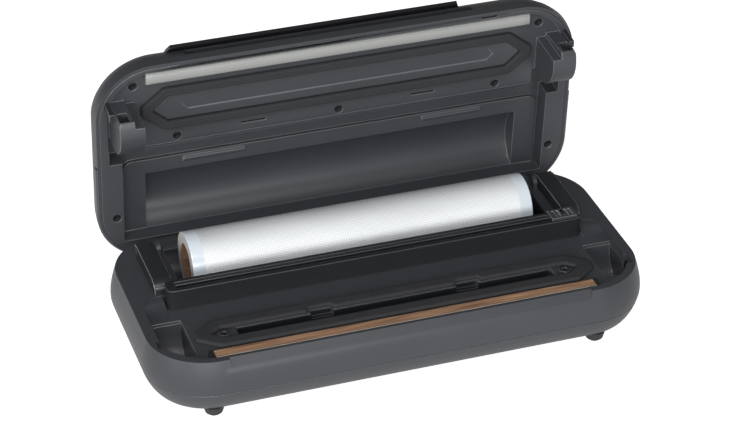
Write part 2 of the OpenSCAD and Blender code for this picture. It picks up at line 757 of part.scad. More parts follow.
module transformer_coil() color("#b5803a") difference() {
    x0 = core_x0 + core_limb + coil_gap;
    x1 = core_x0 + core_w - core_limb - coil_gap;
    span([x0, x1], [pump_y - core_d / 2 - 4, pump_y + core_d / 2 + 4],
        [core_z0 + coil_gap, core_z1 - coil_gap]);
    span([x0 + core_limb, x1 - core_limb], [pump_y - core_d, pump_y + core_d], [core_z0 + 5, core_z1 - 5]);
}

module power_board() color("#2f6b41") difference() {
    span([board_x0, board_x0 + board_l2], [board_y0, board_y0 + board_w2], [board_z, board_z + board_t]);
    for (p = board_posts) translate([p[0], p[1], board_z - 1]) cylinder(h = 4, r = 1.2);
}

module power_board_parts() color("#2a2b2e") translate([board_x0, board_y0, board_z + board_t]) {
    translate([16, 20, 0]) cylinder(h = 15, r = 7);
    translate([16, 40, 0]) cylinder(h = 11, r = 5);
    translate([28, 14, 0]) cube([14, 18, 9]);
    translate([30, 40, 0]) cube([10, 5, 7]);
}

module inlet_frame() difference() {
    span([inlet_x - inlet_w / 2 - 2, inlet_x + inlet_w / 2 + 2], [inlet_y, rear_y + 1],
        [wall - 1, inlet_z + inlet_h / 2 + 1.8]);
}

module power_inlet() color("#1b1b1d") difference() {
    span([inlet_x - inlet_w / 2 + 0.2, inlet_x + inlet_w / 2 - 0.2], [inlet_y + 0.2, rear_y + 2.6],
        [inlet_z - inlet_h / 2 + 0.2, inlet_z + inlet_h / 2 - 0.2]);
    translate([inlet_x, rear_y - 10, inlet_z]) rotate([-90, 0, 0]) linear_extrude(20)
        round_rect(-8.5, -4.4, 8.5, 4.4, 4.2);
}

module inlet_pins() color("silver") for (s = [-1, 1])
    translate([inlet_x + s * 4.3, rear_y - 10, inlet_z]) rotate([-90, 0, 0]) cylinder(h = 8, r = 1.2);

module lid_hinge_pins() color("silver") both_sides() rod([well_x0, well_x1], hinge_y, hinge_z, hinge_r);

module cutter_pivot_pins() color("silver") both_sides() rod([ear_x0, arm_x1], pivot_y, pivot_z, pivot_r);

// ---------- bag roll ----------

module bag_film() color("#dfe4e6") difference() {
    rod([-roll_l / 2, roll_l / 2], roll_y, roll_z, roll_r);
    rod([-roll_l / 2 - 1, roll_l / 2 + 1], roll_y, roll_z, core_r);
}

module roll_core() color("#8b6a4e") difference() {
    rod([-roll_l / 2, roll_l / 2], roll_y, roll_z, core_r);
    rod([-roll_l / 2 - 1, roll_l / 2 + 1], roll_y, roll_z, core_r - core_t);
}

// ---------- cutter ----------

module cutter_bar() color("#26272a") difference() {
    translate([0, 0, bar_z0]) linear_extrude(bar_z1 - bar_z0)
        round_rect(-bar_x, bar_y0, bar_x, bar_y0 + bar_d, 5);
    // hollow underneath
    span([-bar_x + 6, bar_x - 6], [bar_y0 + 2.2, bar_y0 + bar_d - 2.2], [bar_z0 - 1, bar_z1 - 6]);
    // blade slot and the rail's groove
    span([-bar_x + 8, bar_x - 4], [bar_y0 + 5, bar_y0 + 5 + slot_w], [bar_z1 - 7, bar_z1 + 1]);
    span([-bar_x + 8, bar_x - 4], [bar_y0 + 10.3, bar_y0 + 12.3], [bar_z1 - 1.2, bar_z1 + 1]);
}

module cutter_rail() color("#3a3b3e") span([-bar_x + 8.2, bar_x - 4.2],
    [bar_y0 + 10.5, bar_y0 + 12.1], [bar_z1 - 1.2, bar_z1 - 0.4]);

module cutter_arm() difference() {
    union() {
        along_x([arm_x0, arm_x1]) {
            translate([arm_front, arm_z0]) square([pivot_y - arm_front, arm_h - move_gap - 5]);
            translate([arm_front + 10, arm_z0]) square([pivot_y - arm_front - 10, arm_z1 - arm_z0]);
            intersection() {
                translate([arm_front + 10, arm_z1 - 10]) circle(10);
                translate([arm_front, arm_z0]) square([10, arm_z1 - arm_z0]);
            }
        }
        rod([arm_x0, arm_x1], pivot_y, pivot_z, pivot_z - arm_z0);
        span([arm_x0, arm_x1], [pivot_y - EPS, pivot_y + pivot_z - arm_z0], [pivot_z, arm_z1 - 1]);
        // foot that carries the bar's end
        span([arm_x0, bar_x - 5], [bar_y0 + bar_d, arm_front + 4], [rim_h + 0.6, arm_z1 - 3]);
    }
    rod([arm_x0 - 1, arm_x1 + 1], pivot_y, pivot_z, pivot_r + pin_gap);
}

module cutter_arm_left() color("#2b2c2f") mirror([1, 0, 0]) cutter_arm();
module cutter_arm_right() color("#2b2c2f") cutter_arm();

module cutter_grip() color("#3a3b3e") {
    x0 = grip_rest_x - grip_w / 2;
    x1 = grip_rest_x + grip_w / 2;
    z0 = bar_z1 + move_gap;
    difference() {
        span([x0, x1], [bar_y0 + 1.5, bar_y0 + bar_d - 1.5], [z0, z0 + 2.4]);
        for (i = [0:4]) span([x0 + 3 + i * 3.4, x0 + 4.4 + i * 3.4], [bar_y0 + 3.5, bar_y0 + bar_d - 3.5],
            [z0 + 1.8, z0 + 3]);
    }
    // neck through the slot and the foot that keeps it there
    span([x0 + 4, x1 - 4], [bar_y0 + 5 + move_gap, bar_y0 + 5 + slot_w - move_gap], [bar_z1 - 7, z0]);
    span([x0 + 4, x1 - 4], [bar_y0 + 3.2, bar_y0 + 10], [bar_z1 - 9, bar_z1 - 6.4]);
}

module cutter_blade() color("silver") along_x([grip_rest_x - 0.3, grip_rest_x + 0.3])
    polygon([[bar_y0 + 4, bar_z1 - 9], [bar_y0 + 9, bar_z1 - 9], [bar_y0 + 6.5, bar_z0 + 2.5]]);

// ---------- lid ----------

module panel_prism(x, u, n) on_panel() span(x, u, n);

module lid_shell() color("#4a4b4e") opened() difference() {
    union() {
        difference() {
            lid_solid();
            difference() {
                lid_solid(lid_wall);
                // floor under the control panel and the wall behind the finger gap
                panel_prism([panel_x0 - 4, panel_x0 + panel_l + 4], [-30, panel_u1 + 3],
                    [-panel_floor - 0.2, 40]);
                span([lip_gap_x0 - 3, lip_gap_x1 + 3], [front_y - 2, front_y + lip_gap_d + lid_wall],
                    [lip_gap_z0 - 2.5, panel_z + 1]);
            }
        }
        intersection() {
            lid_solid(1);
            union() {
                for (p = lid_screws) translate([p[0], p[1], plate_z + 10.5]) cylinder(h = lid_h, r = 2.6);
                panel_posts(3, board_n + board_t);
            }
        }
    }
    // seat of the control panel
    panel_prism([panel_x0 - 0.2, panel_x0 + panel_l + 0.2], [panel_u0 - 30, panel_u1 + 0.2], [-0.2, 40]);
    // finger gap under the lip
    span([lip_gap_x0, lip_gap_x1], [front_y - 9, front_y + lip_gap_d], [lip_gap_z0, panel_z - 2.2]);
    keys_at() key_shape(key_gap, -panel_floor - 1, 1);
    on_panel() translate([window_x, key_u, -panel_floor - 1]) cylinder(h = 4, r = 4);
    for (p = lid_screws) translate([p[0], p[1], plate_z + 9]) cylinder(h = 14, r = screw_r);
    // room for the hinge arms beside the corner
    both_sides() span([cavity_x + sheet_t, leg_x1 + 0.1], [hinge_y - 12, hinge_y + barrel_r + 0.1],
        [lid_z - 1, plate_top + 2.5]);
}

module panel_posts(r, low) for (x = [key_x0 - key_w / 2 - 8, key_x0 + board_l - key_w / 2 - 22])
    on_panel() translate([x, key_u, low]) cylinder(h = -low - 0.5, r = r);

module key_shape(gap, low, high) translate([0, 0, low]) linear_extrude(high - low)
    round_rect(-key_w / 2 - gap, -key_d / 2 - gap, key_w / 2 + gap, key_d / 2 + gap, 4);

module keys_at() for (i = [0:key_count - 1])
    on_panel() translate([key_x0 + i * key_pitch, key_u, 0]) children();

module one_key(i) color("#5a5c60") opened() on_panel() translate([key_x0 + i * key_pitch, key_u, 0]) {
    key_shape(0, -key_low, panel_t + key_proud);
    translate([0, 0, -key_low]) linear_extrude(2)
        round_rect(-key_w / 2 - 2, -key_d / 2 - 2, key_w / 2 + 2, key_d / 2 + 2, 4);
}
module key_seal() one_key(0);
module key_vacuum() one_key(1);
module key_pulse() one_key(2);
module key_stop() one_key(3);

module control_panel() color("#1c1d20") opened() difference() {
    on_panel() linear_extrude(panel_t)
        polygon([[panel_x0 + 3, panel_u0], [panel_x0 + panel_l - 3, panel_u0],
            [panel_x0 + panel_l, panel_u0 + 8], [panel_x0 + panel_l, panel_u1],
            [panel_x0, panel_u1], [panel_x0, panel_u0 + 8]]);
    keys_at() key_shape(key_gap, -1, panel_t + 1);
    on_panel() translate([window_x - window_w / 2, key_u - 6, panel_t - 1]) cube([window_w, 12, 2]);
}

module status_window() color("#0c0c0e") opened() on_panel()
    translate([window_x - window_w / 2 + 0.1, key_u - 5.9, panel_t - 1]) cube([window_w - 0.2, 11.8, 0.9]);

module control_board() color("#2f6b41") opened() {
    on_panel() span([key_x0 - key_w / 2 - 14, key_x0 - key_w / 2 - 14 + board_l], [key_u - 11, key_u + 11],
        [board_n, board_n + board_t]);
    keys_at() span([-3, 3], [-3, 3], [board_n + board_t, -key_low - key_proud - 0.3]);
}

// Drum that drops into the right latch pocket, with a mouth in its front for the catch
module drum() difference() {
    intersection() {
        union() {
            rod([drum_x0, drum_x1], pocket_y, pocket_z, drum_r);
            span([drum_x0, drum_x1], [pocket_y - drum_r, pocket_y + drum_r], [pocket_z, plate_z + 1]);
            span([drum_x0, drum_x1], [side_hollow_y0 - sheet_t, pocket_y + drum_r], [pocket_z, hollow_z + 1]);
        }
        bowl([[8, pocket_z - 30], [8, hollow_z + 1]]);
        union() {
            span([0, drum_mid], [drum_front + 3, 0], [pocket_z - 30, hollow_z + 1]);
            along_x([drum_mid - EPS, half_w]) polygon([[0, hollow_z + 1], [0, pocket_z - 30],
                [drum_front - drum_slope, pocket_z - 30], [drum_front - drum_slope, pocket_z - drum_r + 2],
                [drum_front, lid_z], [drum_front, hollow_z + 1]]);
        }
    }
    span([drum_mid + 2.5, drum_x1 - 1.4], [drum_front - 5, drum_front + 12],
        [pocket_z - 18.8, pocket_z - 6]);
}

module panel_blocks() {
    translate([0, 0, lid_z]) linear_extrude(plate_top - lid_z) round_rect(-half_w + lid_wall + panel_edge,
        lid_front(plate_top - lid_z) + lid_wall + panel_edge, half_w - lid_wall - panel_edge,
        rear_y - lid_wall - panel_edge, corner_r - lid_wall - panel_edge);
    translate([0, 0, lid_z]) linear_extrude(hollow_z + sheet_t - lid_z)
        round_rect(-hollow_x - sheet_t, hollow_y0 - sheet_t, hollow_x + sheet_t, hollow_y1 + sheet_t, 4);
    both_sides() span([side_hollow_x0 - sheet_t, side_hollow_x1 + sheet_t],
        [side_hollow_y0 - sheet_t, side_hollow_y1 + sheet_t], [lid_z, hollow_z + sheet_t]);
    intersection() {
        rod([-cavity_x - sheet_t, cavity_x + sheet_t], roll_y, roll_z, hollow_r + sheet_t);
        span([-half_w, half_w], [0, hollow_y1 + sheet_t], [lid_z, lid_top]);
    }
    for (p = lid_screws) translate([p[0], p[1], lid_z + 0.6]) cylinder(h = plate_z + 9.9 - lid_z, r = 5.4);
}

module panel_voids() {
    translate([0, 0, lid_z - EPS]) linear_extrude(sheet_t + EPS) difference() {
        round_rect(-side_x + 0.5, front_y + 8, side_x - 0.5, rear_y - 6, corner_r - border_w);
        translate([-half_w, hollow_y0 - 0.01]) square([base_w, base_d]);
    }
    // hollow over the cutter; the lower plate stands in it with a groove round its edge
    difference() {
        translate([0, 0, lid_z - EPS]) linear_extrude(hollow_z - lid_z + EPS) {
            round_rect(-hollow_x, hollow_y0, hollow_x, hollow_y1 - 12, 10);
            round_rect(-hollow_x, hollow_y0 + 30, hollow_x, hollow_y1, 1.5);
        }
        translate([0, 0, plateau_z]) linear_extrude(lid_h)
            round_rect(-plateau_x, plateau_y, plateau_x, hollow_y1 + 20, 8);
    }
    // deeper room behind each drum
    both_sides() span([side_hollow_x0, side_hollow_x1], [side_hollow_y0, side_hollow_y1],
        [lid_z - EPS, hollow_z]);
    intersection() {
        rod([-cavity_x, cavity_x], roll_y, roll_z, hollow_r);
        span([-half_w, half_w], [0, hollow_y1], [0, lid_top]);
    }
    for (p = lid_screws) translate([p[0], p[1], lid_z - EPS]) {
        cylinder(h = lid_screw_head_z + 2.2 - lid_z + EPS, r = screw_head_r + 0.3);
        cylinder(h = 25, r = screw_r + 0.2);
    }
    for (x = [-slot_pitch, 0, slot_pitch]) span([x - 7, x + 7], [front_y + 5.3, front_y + 6.7],
        [lid_z - 1, plate_top + 1]);
    both_sides() {
        span([60, 80], [hollow_y0 - 8.6, hollow_y0 - 7], [plate_z - 1, plate_top + 1]);
        span([leg_x0 - 0.05, leg_x1 + 0.05], [hinge_y - barrel_r - 0.05, hinge_y + barrel_r + 0.05],
            [lid_z - 1, plate_top + 1]);
    }
}

// Raised island inside the upper foam ring, with a shallow track in it
module island() translate([0, upper_y, plate_z - island_t]) difference() {
    linear_extrude(island_t + EPS)
        ring_outline(upper_l - 3 * island_gap, upper_w - 2 * island_gap, 1, upper_w / 2 - 0.5);
    translate([0, -2, -EPS]) linear_extrude(EPS + 0.8)
        ring_outline(upper_l - 46, upper_w / 2 - 1, 0.5, upper_w / 4 - 1);
}

module lid_panel() color("#515255") opened() {
    difference() {
        panel_blocks();
        panel_voids();
    }
    island();
    both_sides() {
        drum();
        // raised bar beside the middle of the hollow
        rod([raised_bar_x0, raised_bar_x1], plateau_y + 4.4, plateau_z + 0.4, raised_bar_r);
    }
    // fence that holds the pressure strip
    for (s = [-1, 1]) span([-strip_l / 2, strip_l / 2],
        [seal_y + s * (strip_w / 2 + 0.8) - 0.5, seal_y + s * (strip_w / 2 + 0.8) + 0.5],
        [plate_z - 1.2, plate_z + 0.2]);
}

module lid_hinge() difference() {
    union() {
        rod([leg_x0, leg_x1], hinge_y, hinge_z, barrel_r);
        span([leg_x0, leg_x1], [hinge_y - barrel_r, hinge_y + barrel_r], [hinge_z, plate_top + 2]);
        span([cavity_x + sheet_t + 0.6, leg_x1], [hollow_y1 + sheet_t + 0.3, hinge_y + barrel_r],
            [plate_top, plate_top + 2.4]);
    }
    rod([leg_x0 - 1, leg_x1 + 1], hinge_y, hinge_z, hinge_r + pin_gap);
}

module lid_hinge_left() color("#2b2c2f") opened() mirror([1, 0, 0]) lid_hinge();
module lid_hinge_right() color("#2b2c2f") opened() lid_hinge();

module upper_gasket() color("#333437") opened() translate([0, upper_y, ring_z1 + move_gap])
    linear_extrude(plate_z - ring_z1 - move_gap) ring_2d(ring_d + upper_more, upper_band);

module pressure_strip() color("#a8a89f") opened() difference() {
    intersection() {
        along_x([-strip_l / 2, strip_l / 2]) round_rect(seal_y - strip_w / 2, seal_top + move_gap,
            seal_y + strip_w / 2, plate_z + strip_r + 1, strip_r);
        span([-half_w, half_w], [seal_y - strip_w, seal_y + strip_w], [rim_h - 10, plate_z]);
    }
    rod([-strip_l / 2 - 1, strip_l / 2 + 1], seal_y, plate_z - 2.2, 1.2);
}

module latch_hook() {
    span([hook_x0, hook_x1], [hook_y0, hook_y1], [hook_low, lid_z]);
    along_x([hook_x0, hook_x1]) polygon([[hook_y1 - 0.1, hook_low], [hook_y1 - 0.1, hook_low + 5],
        [hook_y1 + 3.4, hook_low + 5], [hook_y1 + 3.4, hook_low + 3.6]]);
}

module latch_hook_left() color("#1f2022") opened() mirror([1, 0, 0]) latch_hook();
module latch_hook_right() color("#1f2022") opened() latch_hook();

module lid_screws() color("#3c3c3e") opened() for (p = lid_screws)
    translate([p[0], p[1], 0]) screw(lid_screw_head_z, 2.2, 12, screw_head_r);

base_housing();
working_deck();
latch_cup_left();
latch_cup_right();
roll_cradle();
bottom_cover();
feet();
cover_screws();
seal_carrier();
heating_wire();
seal_tape();
lower_gasket();
drip_tray();
vacuum_ports();
vacuum_hose();
pump_body();
pump_motor();
pump_bracket();
pressure_switch();
transformer_core();
transformer_coil();
power_board();
power_board_parts();
power_inlet();
inlet_pins();
lid_hinge_pins();
cutter_pivot_pins();
bag_film();
roll_core();
cutter_bar();
cutter_rail();
cutter_arm_left();
cutter_arm_right();
cutter_grip();
cutter_blade();
lid_shell();
lid_panel();
lid_hinge_left();
lid_hinge_right();
upper_gasket();
pressure_strip();
latch_hook_left();
latch_hook_right();
lid_screws();
control_panel();
status_window();
control_board();
key_seal();
key_vacuum();
key_pulse();
key_stop();
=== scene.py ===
import json
import math

import bmesh
import bpy
from mathutils import Matrix, Vector


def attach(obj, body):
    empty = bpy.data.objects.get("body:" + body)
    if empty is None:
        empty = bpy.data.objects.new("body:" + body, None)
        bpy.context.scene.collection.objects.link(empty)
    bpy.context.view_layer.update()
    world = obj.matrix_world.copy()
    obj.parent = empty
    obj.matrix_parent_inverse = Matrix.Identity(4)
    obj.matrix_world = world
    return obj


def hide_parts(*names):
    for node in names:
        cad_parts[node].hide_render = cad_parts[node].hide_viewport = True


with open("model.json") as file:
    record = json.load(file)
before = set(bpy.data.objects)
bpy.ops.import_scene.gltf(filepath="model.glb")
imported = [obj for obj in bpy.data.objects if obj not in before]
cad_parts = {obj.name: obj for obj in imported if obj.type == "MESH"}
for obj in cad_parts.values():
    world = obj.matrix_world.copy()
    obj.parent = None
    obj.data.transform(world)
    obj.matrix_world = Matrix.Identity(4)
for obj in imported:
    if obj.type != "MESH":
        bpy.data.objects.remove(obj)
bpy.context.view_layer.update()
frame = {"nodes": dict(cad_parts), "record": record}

MM = 0.001
NODES = frame["nodes"]


# ---------- places that own pieces share with the frame, in millimetres ----------

def box_mm(points):
    """Low and high corner, in millimetres, of the box round some points."""
    return ([min(p[i] for p in points) / MM for i in range(3)],
            [max(p[i] for p in points) / MM for i in range(3)])


def node_box(name):
    """Box round a CAD node's mesh, in millimetres."""
    return box_mm([NODES[name].matrix_world @ vertex.co for vertex in NODES[name].data.vertices])


def joint(name):
    """A joint as the record gives it."""
    return next(item for item in frame["record"]["behaviour"]["joints"] if item["name"] == name)


film_low, film_high = node_box("bag_film")
core_low, core_high = node_box("roll_core")
ROLL_Y = (film_low[1] + film_high[1]) / 2
ROLL_Z = (film_low[2] + film_high[2]) / 2
ROLL_R = (film_high[2] - film_low[2]) / 2
ROLL_HALF = film_high[0]
CORE_R = (core_high[2] - core_low[2]) / 2
FILM_BAND = 10.0       # plain band at each end of the film
tape_low, tape_high = node_box("seal_tape")
SEAL_Y = (tape_low[1] + tape_high[1]) / 2
SEAL_W = tape_high[1] - tape_low[1]
ring_low, ring_high = node_box("lower_gasket")
HINGE = joint("lid_hinge")
HINGE_AT = Vector(HINGE["pos_m"])
LID_ANGLE = -HINGE["range_deg"][0]
OPENED = (Matrix.Translation(HINGE_AT) @ Matrix.Rotation(math.radians(-LID_ANGLE), 4, "X")
          @ Matrix.Translation(-HINGE_AT))

# The control panel on the closed lid: its lower edge, tilt in degrees and thickness
PANEL_Y, PANEL_Z, PANEL_TILT, PANEL_T = -86.0, 68.5, 34.0, 3.0
# Its keys: first centre, pitch, place up the slope and height over the panel; and the window's centre
KEY_X0, KEY_PITCH, KEY_U, KEY_PROUD, WINDOW_X = -104.0, 36.0, 17.0, 0.8, 52.0


# ---------- camera, floor and light ----------

CAMERA_PLACE = (-0.5382, -1.5794, 1.1297)
CAMERA_AZIMUTH = -18.53
CAMERA_ELEVATION = 31.89
CAMERA_LENS = 126.35
FLOOR_Z = -0.008       # underside of the feet
FLOOR_HALF = 6.0
FLOOR_COLOR = (0.8, 0.8, 0.8, 1)
FLOOR_LIFT = 0.62      # glow of the floor for the camera, on top of what it gives the part
FLOOR_GLOW = 0.22      # light that the white floor throws up at the part


# The world's strength: on the part, in its reflections, and as the camera sees it
WORLD = (0.10, 0.16, 1.0)
LAMP_AIM = (0, 0, 0.1)
# Lamps: name, place, width, height and power
LAMPS = (
    ("front", (-0.7, -2.6, 0.8), 2.4, 0.9, 56),
    ("left", (-2.3, -1.0, 0.8), 1.2, 0.9, 24),
    ("high", (-0.6, -1.5, 2.1), 1.9, 0.7, 34),
)


def make_camera():
    data = bpy.data.cameras.new("camera")
    data.lens = CAMERA_LENS
    data.sensor_width = 36
    data.clip_end = 20
    camera = bpy.data.objects.new("camera", data)
    camera.location = CAMERA_PLACE
    camera.rotation_euler = (math.radians(90 - CAMERA_ELEVATION), 0, math.radians(CAMERA_AZIMUTH))
    bpy.context.scene.collection.objects.link(camera)
    bpy.context.scene.camera = camera


def area_light(name, place, width, height, power):
    data = bpy.data.lights.new(name, "AREA")
    data.shape = "RECTANGLE"
    data.size, data.size_y, data.energy = width, height, power
    lamp = bpy.data.objects.new(name, data)
    lamp.location = place
    lamp.rotation_euler = (Vector(LAMP_AIM) - Vector(place)).to_track_quat("-Z", "Y").to_euler()
    bpy.context.scene.collection.objects.link(lamp)


def make_world(light, mirrored, backdrop):
    """Even dim light, a little more in reflections, and white for camera and transmission rays."""
    world = bpy.data.worlds.new("studio")
    bpy.context.scene.world = world
    world.use_nodes = True
    tree = world.node_tree
    tree.nodes.clear()
    path = tree.nodes.new("ShaderNodeLightPath")
    seen = tree.nodes.new("ShaderNodeMath")
    seen.operation = "MAXIMUM"
    gloss = tree.nodes.new("ShaderNodeMapRange")
    gloss.inputs["To Min"].default_value = light
    gloss.inputs["To Max"].default_value = mirrored
    strength = tree.nodes.new("ShaderNodeMapRange")
    strength.inputs["To Max"].default_value = backdrop
    sky = tree.nodes.new("ShaderNodeBackground")
    out = tree.nodes.new("ShaderNodeOutputWorld")
    tree.links.new(path.outputs["Is Camera Ray"], seen.inputs[0])
    tree.links.new(path.outputs["Is Transmission Ray"], seen.inputs[1])
    tree.links.new(path.outputs["Is Glossy Ray"], gloss.inputs["Value"])
    tree.links.new(gloss.outputs["Result"], strength.inputs["To Min"])
    tree.links.new(seen.outputs[0], strength.inputs["Value"])
    tree.links.new(strength.outputs["Result"], sky.inputs["Strength"])
    tree.links.new(sky.outputs[0], out.inputs["Surface"])


def make_floor():
    """White floor whose own light brightens it for the camera."""
    mesh = bpy.data.meshes.new("floor")
    spots = [(x * FLOOR_HALF, y * FLOOR_HALF, FLOOR_Z) for x, y in ((-1, -1), (1, -1), (1, 1), (-1, 1))]
    mesh.from_pydata(spots, [], [(0, 1, 2, 3)])
    floor = bpy.data.objects.new("floor", mesh)
    bpy.context.scene.collection.objects.link(floor)
    made = bpy.data.materials.new("floor_white")
    made.use_nodes = True
    tree = made.node_tree
    tree.nodes.clear()
    diffuse = tree.nodes.new("ShaderNodeBsdfDiffuse")
    diffuse.inputs["Color"].default_value = FLOOR_COLOR
    lift = tree.nodes.new("ShaderNodeEmission")
    path = tree.nodes.new("ShaderNodeLightPath")
    level = tree.nodes.new("ShaderNodeMath")
    level.operation = "MULTIPLY"
    level.inputs[1].default_value = FLOOR_LIFT
    add = tree.nodes.new("ShaderNodeAddShader")
    out = tree.nodes.new("ShaderNodeOutputMaterial")
    glow = tree.nodes.new("ShaderNodeMath")
    glow.operation = "ADD"
    glow.inputs[1].default_value = FLOOR_GLOW
    tree.links.new(path.outputs["Is Camera Ray"], level.inputs[0])
    tree.links.new(level.outputs[0], glow.inputs[0])
    tree.links.new(glow.outputs[0], lift.inputs["Strength"])
    tree.links.new(diffuse.outputs[0], add.inputs[0])
    tree.links.new(lift.outputs[0], add.inputs[1])
    tree.links.new(add.outputs[0], out.inputs["Surface"])
    mesh.materials.append(made)


# ---------- materials ----------

ROUGH_VARY = 0.06


def surface(name, color, rough, metallic=0.0, specular=0.5, grain=900.0, vary=0.08, bump=0.02,
            cloud=14.0, stretch=(1, 1, 1)):
    """Plastic, rubber, metal or board: cloudy tone, fine grain in roughness and height."""
    made = bpy.data.materials.new(name)
    made.use_nodes = True
    tree = made.node_tree
    shader = tree.nodes["Principled BSDF"]
    shader.inputs["Metallic"].default_value = metallic
    shader.inputs["Specular IOR Level"].default_value = specular
    place = tree.nodes.new("ShaderNodeTexCoord")
    mapping = tree.nodes.new("ShaderNodeMapping")
    mapping.inputs["Scale"].default_value = stretch
    tree.links.new(place.outputs["Object"], mapping.inputs["Vector"])
    fine = tree.nodes.new("ShaderNodeTexNoise")
    fine.inputs["Scale"].default_value = grain
    fine.inputs["Detail"].default_value = 4
    broad = tree.nodes.new("ShaderNodeTexNoise")
    broad.inputs["Scale"].default_value = cloud
    broad.inputs["Detail"].default_value = 3
    for noise in (fine, broad):
        tree.links.new(mapping.outputs[0], noise.inputs["Vector"])
    both = tree.nodes.new("ShaderNodeMath")
    both.operation = "ADD"
    tree.links.new(fine.outputs["Fac"], both.inputs[0])
    tree.links.new(broad.outputs["Fac"], both.inputs[1])
    tone = tree.nodes.new("ShaderNodeMapRange")
    tone.inputs["From Min"].default_value = 0.6
    tone.inputs["From Max"].default_value = 1.4
    tone.inputs["To Min"].default_value = 1 - vary
    tone.inputs["To Max"].default_value = 1 + vary
    tree.links.new(both.outputs[0], tone.inputs["Value"])
    shade = tree.nodes.new("ShaderNodeVectorMath")
    shade.operation = "SCALE"
    shade.inputs[0].default_value = color
    tree.links.new(tone.outputs["Result"], shade.inputs["Scale"])
    tree.links.new(shade.outputs[0], shader.inputs["Base Color"])
    polish = tree.nodes.new("ShaderNodeMapRange")
    polish.inputs["From Min"].default_value = 0.3
    polish.inputs["From Max"].default_value = 0.7
    polish.inputs["To Min"].default_value = max(0.02, rough - ROUGH_VARY)
    polish.inputs["To Max"].default_value = min(1, rough + ROUGH_VARY)
    tree.links.new(fine.outputs["Fac"], polish.inputs["Value"])
    tree.links.new(polish.outputs["Result"], shader.inputs["Roughness"])
    height = tree.nodes.new("ShaderNodeBump")
    height.inputs["Strength"].default_value = 1.0
    height.inputs["Distance"].default_value = bump * MM
    tree.links.new(fine.outputs["Fac"], height.inputs["Height"])
    tree.links.new(height.outputs[0], shader.inputs["Normal"])
    return made


class Nodes:
    """Short hand for one material's node tree."""

    def __init__(self, name):
        self.made = bpy.data.materials.new(name)
        self.made.use_nodes = True
        self.tree = self.made.node_tree
        self.shader = self.tree.nodes["Principled BSDF"]
        self.place = self.add("TexCoord").outputs["Object"]

    def add(self, kind):
        return self.tree.nodes.new("ShaderNode" + kind)

    def feed(self, socket, value):
        """Links a node's output to the socket, or writes a plain value on it."""
        if isinstance(value, (int, float, tuple)):
            socket.default_value = value
        else:
            self.tree.links.new(value, socket)

    def math(self, operation, *values):
        node = self.add("Math")
        node.operation = operation
        for socket, value in zip(node.inputs, values):
            self.feed(socket, value)
        return node.outputs[0]

    def axis(self, letter):
        """One coordinate of the object, in millimetres."""
        node = self.add("SeparateXYZ")
        self.feed(node.inputs[0], self.place)
        return self.math("DIVIDE", node.outputs[letter], MM)

    def noise(self, scale, detail, stretch=(1, 1, 1)):
        mapping = self.add("Mapping")
        mapping.inputs["Scale"].default_value = stretch
        self.feed(mapping.inputs["Vector"], self.place)
        node = self.add("TexNoise")
        node.inputs["Scale"].default_value = scale
        node.inputs["Detail"].default_value = detail
        self.feed(node.inputs["Vector"], mapping.outputs[0])
        return node.outputs["Fac"]

    def remap(self, value, low, high, to_low, to_high):
        node = self.add("MapRange")
        for socket, number in zip(("Value", "From Min", "From Max", "To Min", "To Max"),
                                  (value, low, high, to_low, to_high)):
            self.feed(node.inputs[socket], number)
        return node.outputs["Result"]

    def blend(self, factor, first, second):
        node = self.add("Mix")
        node.data_type = "RGBA"
        self.feed(node.inputs["Factor"], factor)
        for socket, color in ((node.inputs[6], first), (node.inputs[7], second)):
            self.feed(socket, color + (1,) if isinstance(color, tuple) else color)
        return node.outputs[2]

    def set(self, **values):
        """Feeds the shader's sockets; an underscore stands for a space in a socket's name."""
        for key, value in values.items():
            self.feed(self.shader.inputs[key.replace("_", " ")], value)

    def bump(self, height, distance):
        """Bump by a height, at a distance in millimetres."""
        node = self.add("Bump")
        node.inputs["Strength"].default_value = 1.0
        node.inputs["Distance"].default_value = distance * MM
        self.feed(node.inputs["Height"], height)
        self.feed(self.shader.inputs["Normal"], node.outputs[0])


DIAMOND = 2.7          # size of the film's embossed diamonds
PAINTED_HIGHLIGHT_TURN = 1.2         # where the film's painted highlight band is, in radians forward of the top at rest
